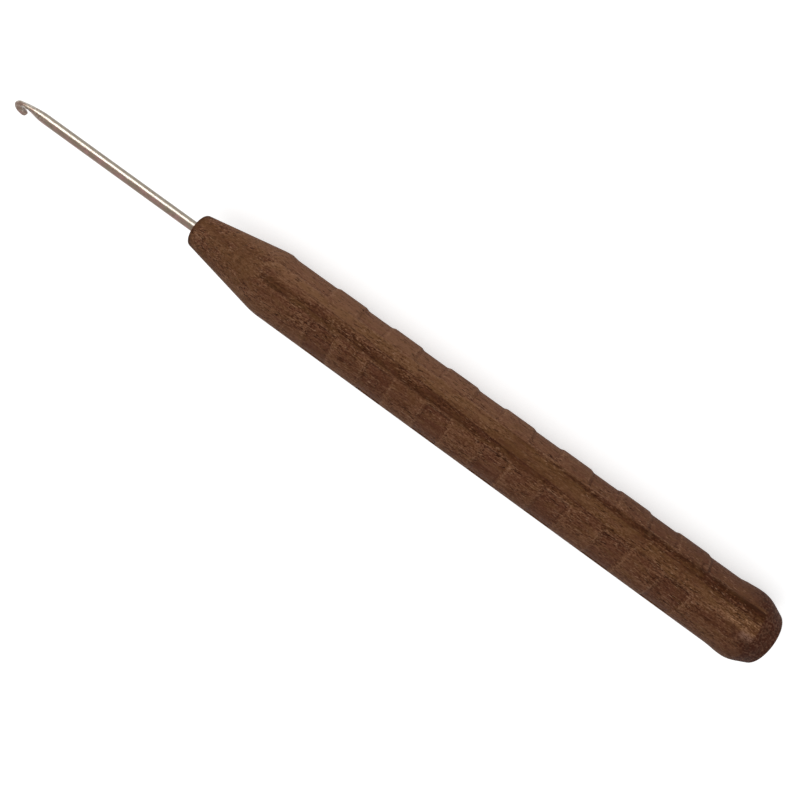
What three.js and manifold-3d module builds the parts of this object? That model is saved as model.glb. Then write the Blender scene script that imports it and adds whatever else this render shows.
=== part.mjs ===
// Crochet hook: a steel hook glued into a turned, planed and carved hardwood handle.
// Millimetres. +X runs from the handle's butt to the hook's tip, +Z is up.
// The handle lies on one of its three flats, and the origin is under the middle of the whole length.
import * as THREE from "three";
import { mergeVertices } from "three/addons/utils/BufferGeometryUtils.js";
import Module from "manifold-3d";

// Turned handle, measured along its axis from the butt
const HANDLE_LENGTH = 122.9;
const BODY_RADIUS = 6.4;
const BEAD_RADIUS = 6.6;
const BEAD_ROUNDING = 1.3;
const BEAD_SWEEP = 3.3;
const BUTT_RADIUS = 4.9;
const BUTT_CHAMFER_ANGLE = 26;
const BUTT_EDGE_ROUNDING = 0.4;
const NOSE_TAPER_LENGTH = 17.0;
const NOSE_RADIUS = 3.2;
const NOSE_EDGE_ROUNDING = 0.5;
const SHOULDER_ROUNDING = 1.5;

// Three flats planed along the handle, and the rows of pockets carved between them
const FLAT_COUNT = 3;
const FLAT_APOTHEM = 6.05;
const POCKET_DEPTH = 0.25;
const POCKET_RAMP = 0.6;
const RUN_OUT_RAMP = 1.5;
const POCKET_RIM = 0.38;
const CELL_PITCH = 12.2;
const TOP_POCKET_LENGTH = 5.8;
const PATTERN_START = 15.9;

// Bore and glue line
const TANG_DEPTH = 32.0;
const TANG_CHAMFER = 0.25;
const GLUE_THICKNESS = 0.12;
const GLUE_UNDER_TANG = 0.6;
const GLUE_RECESS = 0.3;
const DRILL_POINT_ANGLE = 118;
const FIT_CLEARANCE = 0.015;

// Steel hook, measured back from its tip, with heights from the shank's axis towards the lip
const SHANK_DIAMETER = 2.0;
const EXPOSED_LENGTH = 42.9;
const TIP_DROP = 0.78;
const TIP_LENGTH = 1.0;
const CROWN_HEIGHT = 0.02;
const BACK_EASE = 1.5;
const LIP_CREST_AT = 2.1;
const LIP_DEPTH = 2.0;
const LIP_END_AT = 3.1;
const LIP_END_DEPTH = 0.75;
const LIP_BLUNTNESS = 2.4;
const LIP_TAPER = 0.8;
const NECK_LENGTH = 3.6;
const HEAD_WIDTH = 1.8;
const THROAT_AT = 1.86;
const THROAT_WIDTH = 0.56;
const THROAT_DEPTH = 0.55;
const THROAT_LIP_ANGLE = 20;
const RAMP_AT = 2.6;
const RAMP_ANGLE = 13;

// Facets
const HANDLE_SEGMENTS = 60;
const SHANK_SEGMENTS = 24;
const CURVE_STEPS = 5;

const SHANK_RADIUS = SHANK_DIAMETER / 2;
const TOTAL_LENGTH = HANDLE_LENGTH + EXPOSED_LENGTH;
const CHAMFER_SLOPE = Math.tan(THREE.MathUtils.degToRad(BUTT_CHAMFER_ANGLE));
const CHAMFER_LENGTH = (BEAD_RADIUS - BUTT_RADIUS) / CHAMFER_SLOPE;
const BEAD_AT = CHAMFER_LENGTH + BEAD_ROUNDING;
const BODY_AT = BEAD_AT + BEAD_SWEEP;
const SHOULDER_AT = HANDLE_LENGTH - NOSE_TAPER_LENGTH;
const TANG_END = HANDLE_LENGTH - TANG_DEPTH;
const NECK_END = LIP_END_AT + NECK_LENGTH;
const BORE_RADIUS = SHANK_RADIUS + GLUE_THICKNESS + 2 * FIT_CLEARANCE;
const BORE_BOTTOM = TANG_END - GLUE_UNDER_TANG;
const DRILL_POINT = BORE_RADIUS / Math.tan(THREE.MathUtils.degToRad(DRILL_POINT_ANGLE / 2));
const FIRST_FLAT_TURN = THREE.MathUtils.degToRad(360 / FLAT_COUNT / 2);

const wasm = await Module();
wasm.setup();

// A closed three.js geometry as a solid that can be cut and joined
function solidOf(geometry) {
  const bare = geometry.clone();
  bare.deleteAttribute("normal");
  bare.deleteAttribute("uv");
  const merged = mergeVertices(bare, 1e-5);
  const index = merged.index.array;
  const triVerts = [];
  for (let i = 0; i < index.length; i += 3) {
    const [a, b, c] = [index[i], index[i + 1], index[i + 2]];
    if (a !== b && b !== c && c !== a) {
      triVerts.push(a, b, c);
    }
  }
  return new wasm.Manifold(new wasm.Mesh({
    numProp: 3,
    vertProperties: new Float32Array(merged.attributes.position.array),
    triVerts: new Uint32Array(triVerts),
  }));
}

// The geometry of a finished solid, with flat facets
function geometryOf(solid) {
  const { numProp, vertProperties, triVerts } = solid.getMesh();
  const geometry = new THREE.BufferGeometry();
  const positions = new THREE.InterleavedBufferAttribute(
    new THREE.InterleavedBuffer(vertProperties, numProp), 3, 0);
  geometry.setAttribute("position", positions);
  geometry.setIndex([...triVerts]);
  const facets = geometry.toNonIndexed();
  facets.computeVertexNormals();
  return facets;
}

// Outline points [along, radius] turned about the X axis
function turned(outline, segments) {
  const points = outline.map(([along, radius]) => new THREE.Vector2(radius, along));
  return new THREE.LatheGeometry(points, segments).rotateZ(-Math.PI / 2);
}

// A cross-section drawn in Y and Z, extruded from one place along X to another
function extrudedAlongX(shape, from, to) {
  const geometry = new THREE.ExtrudeGeometry(shape, { depth: to - from, bevelEnabled: false });
  const turn = new THREE.Matrix4().makeBasis(
    new THREE.Vector3(0, 1, 0), new THREE.Vector3(0, 0, 1), new THREE.Vector3(1, 0, 0));
  return geometry.applyMatrix4(turn).translate(from, 0, 0);
}

// The outline at the butt: chamfer, rounded bead, and the sweep down to the body
function buttOutline() {
  const chamferRadius = (along) => BUTT_RADIUS + CHAMFER_SLOPE * along;
  const beadStart = CHAMFER_LENGTH - BEAD_ROUNDING;
  const path = new THREE.Path();
  path.moveTo(0, 0);
  path.lineTo(0, BUTT_RADIUS - BUTT_EDGE_ROUNDING);
  path.quadraticCurveTo(0, BUTT_RADIUS, BUTT_EDGE_ROUNDING, chamferRadius(BUTT_EDGE_ROUNDING));
  path.lineTo(beadStart, chamferRadius(beadStart));
  path.quadraticCurveTo(CHAMFER_LENGTH, BEAD_RADIUS, BEAD_AT, BEAD_RADIUS);
  path.bezierCurveTo(
    BEAD_AT + BEAD_SWEEP / 2, BEAD_RADIUS,
    BEAD_AT + BEAD_SWEEP / 2, BODY_RADIUS,
    BODY_AT, BODY_RADIUS);
  return path.getPoints(CURVE_STEPS).map((p) => [p.x, p.y]);
}

// The outline at the nose: the softened shoulder, the straight taper and the rounded front edge
function noseOutline() {
  const slope = (BODY_RADIUS - NOSE_RADIUS) / NOSE_TAPER_LENGTH;
  const path = new THREE.Path();
  path.moveTo(SHOULDER_AT - SHOULDER_ROUNDING, BODY_RADIUS);
  path.quadraticCurveTo(
    SHOULDER_AT, BODY_RADIUS,
    SHOULDER_AT + SHOULDER_ROUNDING, BODY_RADIUS - slope * SHOULDER_ROUNDING);
  path.lineTo(HANDLE_LENGTH - NOSE_EDGE_ROUNDING, NOSE_RADIUS + slope * NOSE_EDGE_ROUNDING);
  path.quadraticCurveTo(HANDLE_LENGTH, NOSE_RADIUS, HANDLE_LENGTH, NOSE_RADIUS - NOSE_EDGE_ROUNDING);
  path.lineTo(HANDLE_LENGTH, 0);
  return path.getPoints(CURVE_STEPS).map((p) => [p.x, p.y]);
}

// The waste planed off beside one flat, whose outward normal leans `turn` from +Z towards +Y
function flatWaste(turn) {
  const size = 4 * BEAD_RADIUS;
  const waste = new THREE.BoxGeometry(2 * HANDLE_LENGTH, size, size);
  waste.translate(HANDLE_LENGTH / 2, 0, FLAT_APOTHEM + size / 2);
  return waste.rotateX(-turn);
}

// One carved pocket: a shallow band round the body, kept between two rims beside the flats
function pocketWaste({ from, to, firstRamp = POCKET_RAMP, lastRamp = POCKET_RAMP }, turn) {
  const floor = BODY_RADIUS - POCKET_DEPTH;
  const clearOfBody = BODY_RADIUS / 10;
  const start = from - firstRamp * clearOfBody / POCKET_DEPTH;
  const end = to + lastRamp * clearOfBody / POCKET_DEPTH;
  const band = turned([
    [from + firstRamp, floor],
    [start, BODY_RADIUS + clearOfBody],
    [end, BODY_RADIUS + clearOfBody],
    [to - lastRamp, floor],
    [from + firstRamp, floor],
  ], HANDLE_SEGMENTS);
  const flatHalfAngle = Math.acos(FLAT_APOTHEM / BODY_RADIUS);
  const halfAngle = Math.PI / FLAT_COUNT - flatHalfAngle - POCKET_RIM / BODY_RADIUS;
  const reach = 2 * BODY_RADIUS;
  const sector = new THREE.Shape();
  sector.moveTo(0, 0);
  sector.lineTo(reach * Math.sin(turn + halfAngle), reach * Math.cos(turn + halfAngle));
  sector.lineTo(reach * Math.sin(turn - halfAngle), reach * Math.cos(turn - halfAngle));
  const wedge = extrudedAlongX(sector, start - clearOfBody, end + clearOfBody);
  return solidOf(band).intersect(solidOf(wedge));
}

// The pockets of the row on top, and of the two rows beside it, which alternate with it:
// a side row is carved where the top row stands proud, and it runs out at both of its ends
function pocketRows() {
  const count = Math.floor((SHOULDER_AT - PATTERN_START) / CELL_PITCH);
  const top = [];
  const side = [{ from: BODY_AT - POCKET_RAMP, to: PATTERN_START, firstRamp: RUN_OUT_RAMP }];
  for (let cell = 0; cell < count; cell += 1) {
    const from = PATTERN_START + cell * CELL_PITCH;
    const to = from + TOP_POCKET_LENGTH;
    top.push({ from, to });
    side.push({ from: to, to: from + CELL_PITCH });
  }
  side[count].to = SHOULDER_AT;
  side[count].lastRamp = RUN_OUT_RAMP;
  return { top, side };
}

function carvedHandle() {
  let handle = solidOf(turned([...buttOutline(), ...noseOutline()], HANDLE_SEGMENTS));
  const { top, side } = pocketRows();
  for (let row = 0; row < FLAT_COUNT; row += 1) {
    const turn = row * 2 * FIRST_FLAT_TURN;
    for (const pocket of row === 0 ? top : side) {
      handle = handle.subtract(pocketWaste(pocket, turn));
    }
    handle = handle.subtract(solidOf(flatWaste(turn + FIRST_FLAT_TURN)));
  }
  const drill = turned([
    [BORE_BOTTOM - DRILL_POINT, 0],
    [BORE_BOTTOM, BORE_RADIUS],
    [HANDLE_LENGTH + NOSE_RADIUS, BORE_RADIUS],
    [HANDLE_LENGTH + NOSE_RADIUS, 0],
  ], SHANK_SEGMENTS);
  return handle.subtract(solidOf(drill));
}

// The cured glue: a sleeve round the tang with a plug under its end
function glueOutline() {
  const outside = BORE_RADIUS - FIT_CLEARANCE;
  const inside = SHANK_RADIUS + FIT_CLEARANCE;
  const floor = TANG_END - FIT_CLEARANCE;
  const mouth = HANDLE_LENGTH - GLUE_RECESS;
  return [
    [BORE_BOTTOM - DRILL_POINT + 2 * FIT_CLEARANCE, 0],
    [BORE_BOTTOM + FIT_CLEARANCE, outside],
    [mouth, outside],
    [mouth, inside],
    [floor + TANG_CHAMFER, inside],
    [floor, inside - TANG_CHAMFER],
    [floor, 0],
  ];
}

// A rounded corner that rises from 0 to 1 as the share does: an ellipse where the bluntness is 2
function roundRise(share, bluntness = 2) {
  return (1 - (1 - THREE.MathUtils.clamp(share, 0, 1)) ** bluntness) ** (1 / bluntness);
}

// The back of the hook, away from the lip: round at the tip, then easing out to the shank
function backHeight(at) {
  const left = 1 - Math.min(at / NECK_END, 1);
  const line = SHANK_RADIUS - (SHANK_RADIUS - CROWN_HEIGHT) * left ** BACK_EASE;
  return (line + TIP_DROP) * roundRise(at / TIP_LENGTH) - TIP_DROP;
}

// The lip side of the hook's blank: round tip, lip, and back to the shank
function lipDepth(at) {
  if (at <= LIP_CREST_AT) {
    return TIP_DROP + (LIP_DEPTH - TIP_DROP) * roundRise(at / LIP_CREST_AT);
  }
  if (at <= LIP_END_AT) {
    const fall = roundRise((LIP_END_AT - at) / (LIP_END_AT - LIP_CREST_AT), LIP_BLUNTNESS);
    return LIP_END_DEPTH + (LIP_DEPTH - LIP_END_DEPTH) * fall;
  }
  const back = THREE.MathUtils.smoothstep(at, LIP_END_AT, NECK_END);
  return THREE.MathUtils.lerp(LIP_END_DEPTH, SHANK_RADIUS, back);
}

// The height at which a cross-section is widest: the tip's, sinking to the shank's axis
function middleDepth(at) {
  return TIP_DROP * (1 - THREE.MathUtils.smoothstep(at, 0, LIP_END_AT));
}

// Half the width across the hook, seen from its back
function halfWidth(at) {
  const head = HEAD_WIDTH / 2 * roundRise(at / LIP_CREST_AT);
  return THREE.MathUtils.lerp(head, SHANK_RADIUS, THREE.MathUtils.smoothstep(at, LIP_CREST_AT, NECK_END));
}

// Places along the hook's head where it has a cross-section, closest together at the tip and the lip
function headPlaces() {
  const places = [];
  const steps = 2 * CURVE_STEPS;
  for (let step = 1; step <= steps; step += 1) {
    places.push(LIP_CREST_AT * (1 - Math.cos(step / steps * Math.PI / 2)));
  }
  for (let step = 1; step <= steps; step += 1) {
    places.push(LIP_CREST_AT + (LIP_END_AT - LIP_CREST_AT) * Math.sin(step / steps * Math.PI / 2));
  }
  for (let step = 1; step <= CURVE_STEPS; step += 1) {
    places.push(LIP_END_AT + NECK_LENGTH * step / CURVE_STEPS);
  }
  return places;
}

// How far the lip side is drawn in: more and more towards the lip's end, then less along the neck
function lipTaper(at) {
  const { smoothstep } = THREE.MathUtils;
  return LIP_TAPER * smoothstep(at, 0, LIP_END_AT) * (1 - smoothstep(at, LIP_END_AT, NECK_END));
}

// The steel blank: a round bar whose cross-sections are drawn, one by one, into the head
function hookBlank() {
  const tip = { at: 0, back: -TIP_DROP, lip: TIP_DROP, middle: TIP_DROP, half: 0, taper: 0 };
  const head = headPlaces().map((at) => ({
    at,
    back: backHeight(at),
    lip: lipDepth(at),
    middle: middleDepth(at),
    half: halfWidth(at),
    taper: lipTaper(at),
  }));
  const tangEnd = TOTAL_LENGTH - TANG_END;
  const tang = [
    [tangEnd - TANG_CHAMFER, SHANK_RADIUS],
    [tangEnd, SHANK_RADIUS - TANG_CHAMFER],
    [tangEnd, 0],
  ].map(([at, radius]) => ({ at, back: radius, lip: radius, middle: 0, half: radius, taper: 0 }));
  const sections = [...tang.reverse(), ...head.reverse(), tip];
  const outline = sections.map(({ at, half }) => [TOTAL_LENGTH - at, half > 0 ? 1 : 0]);
  const blank = turned(outline, SHANK_SEGMENTS);
  const position = blank.attributes.position;
  for (let i = 0; i < position.count; i += 1) {
    const { back, lip, middle, half, taper } = sections[i % sections.length];
    const z = position.getZ(i);
    position.setY(i, position.getY(i) * half * (1 - taper * Math.max(z, 0)));
    position.setZ(i, middle + z * (z > 0 ? lip - middle : back + middle));
  }
  return blank;
}

// The throat: a slot milled under the lip to a round end, and a ramp from the slot out to the shank
function throatWaste() {
  const radius = THROAT_WIDTH / 2;
  const lipTurn = THREE.MathUtils.degToRad(THROAT_LIP_ANGLE);
  const rampSlope = Math.tan(THREE.MathUtils.degToRad(RAMP_ANGLE));
  const endAt = THROAT_AT + radius;
  const roof = THROAT_DEPTH - radius;
  const outside = LIP_DEPTH + radius;
  const lipWall = THROAT_DEPTH + radius / Math.cos(lipTurn) + (LIP_END_AT - endAt) * Math.tan(lipTurn);
  const throat = new THREE.Shape();
  throat.absarc(endAt, THROAT_DEPTH, radius, -Math.PI / 2, lipTurn + Math.PI / 2, true);
  throat.lineTo(LIP_END_AT, lipWall);
  throat.lineTo(LIP_END_AT, outside);
  throat.lineTo(RAMP_AT + (outside - roof) / rampSlope, outside);
  throat.lineTo(RAMP_AT, roof);
  const width = 2 * HEAD_WIDTH;
  const waste = new THREE.ExtrudeGeometry(
    throat, { depth: width, bevelEnabled: false, curveSegments: CURVE_STEPS });
  waste.translate(0, 0, -width / 2);
  const turn = new THREE.Matrix4().makeBasis(
    new THREE.Vector3(-1, 0, 0), new THREE.Vector3(0, 0, 1), new THREE.Vector3(0, 1, 0));
  return waste.applyMatrix4(turn).translate(TOTAL_LENGTH, 0, 0);
}

function steelHook() {
  return solidOf(hookBlank()).subtract(solidOf(throatWaste()));
}

const walnut = new THREE.MeshStandardMaterial({ color: 0x5b3c2b, roughness: 0.62, metalness: 0 });
const steel = new THREE.MeshStandardMaterial({ color: 0xb8b0a6, roughness: 0.3, metalness: 1 });
const curedGlue = new THREE.MeshStandardMaterial({ color: 0xc8b48a, roughness: 0.35, metalness: 0 });

function piece(name, geometry, material) {
  const mesh = new THREE.Mesh(geometry, material);
  mesh.name = name;
  return mesh;
}

const handle = piece("handle", geometryOf(carvedHandle()), walnut);
const glue = piece("tang_glue", turned(glueOutline(), SHANK_SEGMENTS), curedGlue);
const hook = piece("steel_hook", geometryOf(steelHook()), steel);
hook.rotation.x = -FIRST_FLAT_TURN;

const crochetHook = new THREE.Group();
crochetHook.add(handle, glue, hook);
crochetHook.position.set(-TOTAL_LENGTH / 2, 0, FLAT_APOTHEM);

export default crochetHook;
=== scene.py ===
"""The looks of a crochet hook: a carved walnut handle with a polished steel hook glued into it.

Sizes in the classes are in millimetres and turns in degrees, as a maker would note them, and the
scene itself is in metres. A station is a distance along the handle from its butt. X runs from the
butt to the hook's tip, and Z is up. The handle lies on one of its three flats.
"""

from __future__ import annotations

import logging
import math
from collections.abc import Iterable, Mapping, Sequence
from dataclasses import dataclass
from enum import Enum
from functools import partial, reduce
from itertools import pairwise
from typing import Any

import bpy
import numpy as np
from mathutils import Matrix, Vector

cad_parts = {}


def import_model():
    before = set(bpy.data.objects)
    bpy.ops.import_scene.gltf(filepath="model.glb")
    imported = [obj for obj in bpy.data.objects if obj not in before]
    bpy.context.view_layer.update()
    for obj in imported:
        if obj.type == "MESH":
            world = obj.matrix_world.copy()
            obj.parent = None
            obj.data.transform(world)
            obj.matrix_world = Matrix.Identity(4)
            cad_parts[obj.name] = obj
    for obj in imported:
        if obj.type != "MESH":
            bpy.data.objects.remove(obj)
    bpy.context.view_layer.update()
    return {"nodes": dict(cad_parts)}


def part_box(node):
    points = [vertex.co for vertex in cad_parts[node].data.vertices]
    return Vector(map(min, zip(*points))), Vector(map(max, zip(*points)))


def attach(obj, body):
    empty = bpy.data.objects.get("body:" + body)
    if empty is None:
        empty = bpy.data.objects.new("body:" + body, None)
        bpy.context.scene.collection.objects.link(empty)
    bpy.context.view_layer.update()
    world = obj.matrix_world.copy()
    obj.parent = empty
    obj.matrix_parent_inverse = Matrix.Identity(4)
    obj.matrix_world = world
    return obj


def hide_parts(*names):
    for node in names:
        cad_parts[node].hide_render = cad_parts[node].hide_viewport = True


MM = 0.001
FULL_TURN = 2 * math.pi
TOUCHING = 1e-7  # Points closer than this, in metres, are one
ACROSS_PER_Y, ACROSS_PER_Z = -0.670, -0.742  # Across the handle in the camera's view, to the near row
Colour = tuple[float, float, float, float]
OutlinePoint = tuple[float, float]
Place = tuple[float, float, float]
Socket = bpy.types.NodeSocket

logger = logging.getLogger("crochet_hook")


class Row(Enum):
    """The rows of carving round the handle, by the turn of their middle from the top."""

    TOP = 0.0
    FAR_SIDE = 120.0
    NEAR_SIDE = 240.0


class Flat(Enum):
    """The planed flats round the handle, by the turn of their middle from the top."""

    LIP_SIDE = 60.0
    UNDERSIDE = 180.0
    NEAR_SIDE = 300.0


# Shader maths


@dataclass(frozen=True)
class Value:
    """A number that varies over a surface, written into sums as an ordinary number would be."""

    bench: ShaderBench
    socket: Socket

    def __add__(self, other: Value | float) -> Value:
        """Return the sum of both."""
        return self.bench.maths("ADD", self, other)

    __radd__ = __add__

    def __mul__(self, other: Value | float) -> Value:
        """Return the product of both."""
        return self.bench.maths("MULTIPLY", self, other)

    __rmul__ = __mul__

    def __sub__(self, other: Value | float) -> Value:
        """Return this value less the other."""
        return self.bench.maths("SUBTRACT", self, other)

    def __rsub__(self, other: float) -> Value:
        """Return the other value less this one."""
        return self.bench.maths("SUBTRACT", other, self)


@dataclass(frozen=True)
class Fade:
    """A soft change over a value, from a start to an end that may lie to either side of it."""

    start: float
    end: float
    before: float = 0.0
    after: float = 1.0

    def over(self, value: Value) -> Value:
        """Return one number before the start, the other after the end, and a blend between.

        Args:
            value: The value that the fade runs along.

        Returns:
            The blend.
        """
        node = value.bench.node(
            "ShaderNodeMapRange",
            {"interpolation_type": "SMOOTHSTEP"},
            {
                "Value": value,
                "From Min": self.start,
                "From Max": self.end,
                "To Min": self.before,
                "To Max": self.after,
            },
        )
        return Value(value.bench, node.outputs[0])


@dataclass(frozen=True)
class Hump:
    """A soft spot on a value: full height in its middle, and gone at its reach to both sides."""

    middle: float
    reach: float
    height: float = 1.0

    def over(self, value: Value) -> Value:
        """Return the height of the spot at each value."""
        distance = value.bench.maths("ABSOLUTE", value - self.middle)
        return Fade(self.reach, 0.0, 0.0, self.height).over(distance)


@dataclass(frozen=True)
class Pattern:
    """A cloudy pattern around one half, by its cells per millimetre along the axis and across it."""

    along: float
    across: float
    detail: float
    roughness: float = 0.5
    seed: float = 0.0
    contrast: float = 1.0


class ShaderBench:
    """A material or a world whose nodes are made one by one and joined as they are made."""

    def __init__(self, owner: bpy.types.Material | bpy.types.World) -> None:
        """Clear the owner's nodes and start afresh.

        Args:
            owner: The material or the world that the nodes belong to.
        """
        owner.use_nodes = True
        self.tree = owner.node_tree
        self.tree.nodes.clear()

    def node(
        self,
        kind: str,
        settings: Mapping[str, Any] | None = None,
        inputs: Mapping[str | int, Any] | None = None,
    ) -> bpy.types.Node:
        """Add a node, set it up, and then feed its sockets.

        Args:
            kind: The node's type.
            settings: The node's own settings, and the stops of a ramp under "stops".
            inputs: Numbers, colours, values or sockets for its inputs, by name or place.

        Returns:
            The new node.
        """
        node = self.tree.nodes.new(kind)
        for key, setting in (settings or {}).items():
            if key == "stops":
                self._set_stops(node.color_ramp, setting)
            else:
                setattr(node, key, setting)
        for key, given in (inputs or {}).items():
            if isinstance(given, Value):
                given = given.socket
            if isinstance(given, Socket):
                self.tree.links.new(given, node.inputs[key])
            else:
                node.inputs[key].default_value = given
        return node

    @staticmethod
    def _set_stops(ramp: bpy.types.ColorRamp, stops: Sequence[tuple[float, Colour]]) -> None:
        """Give a ramp its stops, from left to right.

        Args:
            ramp: The colour ramp of a node.
            stops: Pairs of a place from 0 to 1 and a colour.
        """
        while len(ramp.elements) < len(stops):
            ramp.elements.new(1.0)
        for element, (place, colour) in zip(ramp.elements, stops):
            element.position = place
            element.color = colour

    def maths(self, operation: str, first: Value | float, second: Value | float = 0.0) -> Value:
        """Work out a sum in a Math node.

        Args:
            operation: The node's operation.
            first: The left-hand side.
            second: The right-hand side, where the operation has one.

        Returns:
            The result.
        """
        node = self.node("ShaderNodeMath", {"operation": operation}, {0: first, 1: second})
        return Value(self, node.outputs[0])

    def most_of(self, values: Iterable[Value]) -> Value:
        """Return the greatest of some values."""
        return reduce(partial(self.maths, "MAXIMUM"), values)

    def vector_maths(self, operation: str, first: Socket, second: Socket | Place) -> bpy.types.Node:
        """Work with two vectors in a Vector Math node, and return the node."""
        return self.node("ShaderNodeVectorMath", {"operation": operation}, {0: first, 1: second})

    def cells(self, place: Socket, pattern: Pattern) -> Socket:
        """Return a place in millimetres, counted in the cells of a pattern."""
        size = (pattern.along, pattern.across, pattern.across)
        return self.vector_maths("MULTIPLY", place, size).outputs[0]

    def noise(self, place: Socket, pattern: Pattern) -> Value:
        """Lay a pattern over a surface.

        Args:
            place: The place in millimetres.
            pattern: The pattern.

        Returns:
            The pattern's strength at the place, around one half.
        """
        node = self.node(
            "ShaderNodeTexNoise",
            {"noise_dimensions": "4D"},
            {
                "Vector": self.cells(place, pattern),
                "W": pattern.seed,
                "Scale": 1.0,
                "Detail": pattern.detail,
                "Roughness": pattern.roughness,
            },
        )
        return Value(self, node.outputs[0])

    def mix(self, share: Value | float, first: Colour | Socket, second: Colour | Socket) -> Socket:
        """Blend the second colour into the first by the given share and return the result."""
        node = self.node("ShaderNodeMix", {"data_type": "RGBA"}, {0: share, 6: first, 7: second})
        return node.outputs[2]

    def coated(
        self, colour: Colour | Socket, *coats: tuple[Value | float, Colour | Socket]
    ) -> Socket:
        """Lay coats of colour over a colour, each by its own share.

        Args:
            colour: The colour underneath.
            coats: The share and the colour of each coat, from the first to the last.

        Returns:
            The colour with its coats.
        """
        for share, coat in coats:
            colour = self.mix(share, colour, coat)
        return colour

    def attribute(self, name: str) -> Value:
        """Return a number that the mesh itself carries at each point."""
        node = self.node("ShaderNodeAttribute", {"attribute_name": name})
        return Value(self, node.outputs["Fac"])

    def bump(self, height: Value, distance: float, strength: float) -> Socket:
        """Turn a height into a tilt of the surface.

        Args:
            height: The height, from 0 to 1.
            distance: What a height of 1 stands for, in millimetres.
            strength: The share of the effect.

        Returns:
            The tilted normal.
        """
        node = self.node(
            "ShaderNodeBump",
            inputs={"Strength": strength, "Distance": distance * MM, "Height": height},
        )
        return node.outputs[0]

    def backdrop_rays(self) -> Value:
        """Tell the rays that show the backdrop: those to the camera, off metal and through glass.

        Returns:
            1 for such a ray, and 0 for any other.
        """
        path = self.node("ShaderNodeLightPath")
        kinds = ("Camera", "Glossy", "Transmission")
        return self.most_of(Value(self, path.outputs[f"Is {kind} Ray"]) for kind in kinds)

    def principled(self, inputs: Mapping[str | int, Any]) -> None:
        """Finish a material with the usual shader, fed with the given inputs."""
        shader = self.node("ShaderNodeBsdfPrincipled", inputs=inputs)
        self.node("ShaderNodeOutputMaterial", inputs={"Surface": shader.outputs[0]})


class AxisBench(ShaderBench):
    """A bench for a material that is laid out along the handle's axis.

    Attributes:
        place: The place in millimetres from the middle of the butt.
        station: Its distance along the axis.
        across: Its distance across the handle in the camera's view, towards the near row of carving.
    """

    def __init__(self, owner: bpy.types.Material, axis: Axis) -> None:
        """Clear the owner's nodes and find the place along the axis.

        Args:
            owner: The material that the nodes belong to.
            axis: The handle's axis.
        """
        super().__init__(owner)
        coordinates = self.node("ShaderNodeTexCoord")
        self.place = self.node(
            "ShaderNodeMapping",
            inputs={
                "Vector": coordinates.outputs["Object"],
                "Location": (-axis.butt_x / MM, 0.0, -axis.height / MM),
                "Scale": (1 / MM, 1 / MM, 1 / MM),
            },
        ).outputs[0]
        split = self.node("ShaderNodeSeparateXYZ", inputs={0: self.place})
        self.station, side, up = (Value(self, output) for output in split.outputs)
        self.across = side * ACROSS_PER_Y + up * ACROSS_PER_Z


# Modelling


@dataclass(frozen=True)
class Axis:
    """The handle's axis, which stations, radii and turns are measured from."""

    butt_x: float
    height: float

    def place(self, station: float, radius: float, turn: float = 0.0) -> Vector:
        """Find a place in the scene.

        Args:
            station: The distance along the axis from the butt, in millimetres.
            radius: The distance from the axis, in millimetres.
            turn: The turn round the axis, in degrees from the top towards +Y.

        Returns:
            The place in metres.
        """
        angle = math.radians(turn)
        return Vector((
            self.butt_x + station * MM,
            radius * math.sin(angle) * MM,
            self.height + radius * math.cos(angle) * MM,
        ))

    @property
    def middle(self) -> Place:
        """A point on the axis, for tools that turn about it."""
        return (0.0, 0.0, self.height)


class Workbench:
    """The hand tools that every piece is made with. Each works on the piece in hand."""

    @staticmethod
    def clear() -> None:
        """Put every tool down: nothing is selected and no piece is in hand."""
        bpy.ops.object.select_all(action="DESELECT")
        bpy.context.view_layer.objects.active = None

    @classmethod
    def pick_up(cls, *pieces: bpy.types.Object) -> None:
        """Select these pieces only.

        Args:
            pieces: The pieces. The first one comes to hand.
        """
        cls.clear()
        for piece in pieces:
            piece.select_set(True)
        bpy.context.view_layer.objects.active = pieces[0]

    @classmethod
    def draw(cls, name: str, places: Sequence[Vector]) -> bpy.types.Object:
        """Draw a line from place to place, from a small plane merged to one point.

        Args:
            name: The new piece's name.
            places: The corners of the line, in metres.

        Returns:
            The piece, in hand and in edit mode, with its last corner selected.
        """
        cls.clear()
        bpy.ops.mesh.primitive_plane_add(size=MM)
        piece = bpy.context.object
        piece.name = name
        bpy.ops.object.mode_set(mode="EDIT")
        bpy.ops.mesh.merge(type="CENTER")
        bpy.ops.transform.translate(value=places[0])
        for before, after in pairwise(places):
            bpy.ops.mesh.extrude_vertices_move(TRANSFORM_OT_translate={"value": after - before})
        return piece

    @staticmethod
    def close_up() -> None:
        """Merge what touches, point every face outwards and leave edit mode."""
        bpy.ops.mesh.select_all(action="SELECT")
        bpy.ops.mesh.remove_doubles(threshold=TOUCHING)
        bpy.ops.mesh.normals_make_consistent(inside=False)
        bpy.ops.object.mode_set(mode="OBJECT")

    @classmethod
    def finish_with(cls, piece: bpy.types.Object, kind: str, settings: Mapping[str, Any]) -> None:
        """Put a modifier on a piece and apply it at once.

        Args:
            piece: The piece.
            kind: The modifier's type.
            settings: The modifier's settings.
        """
        cls.pick_up(piece)
        modifier = piece.modifiers.new(kind.title(), kind)
        for key, setting in settings.items():
            setattr(modifier, key, setting)
        bpy.ops.object.modifier_apply(modifier=modifier.name)

    @classmethod
    def cut_away(cls, piece: bpy.types.Object, cutters: Sequence[bpy.types.Object]) -> None:
        """Join the cutters, take their shape out of a piece, and throw them away.

        Args:
            piece: The piece that is cut.
            cutters: Closed shapes that don't overlap each other.
        """
        cls.pick_up(*cutters)
        bpy.ops.object.join()
        cutter = bpy.context.object
        cls.finish_with(piece, "BOOLEAN", {"operation": "DIFFERENCE", "object": cutter, "solver": "EXACT"})
        bpy.data.objects.remove(cutter)


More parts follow.
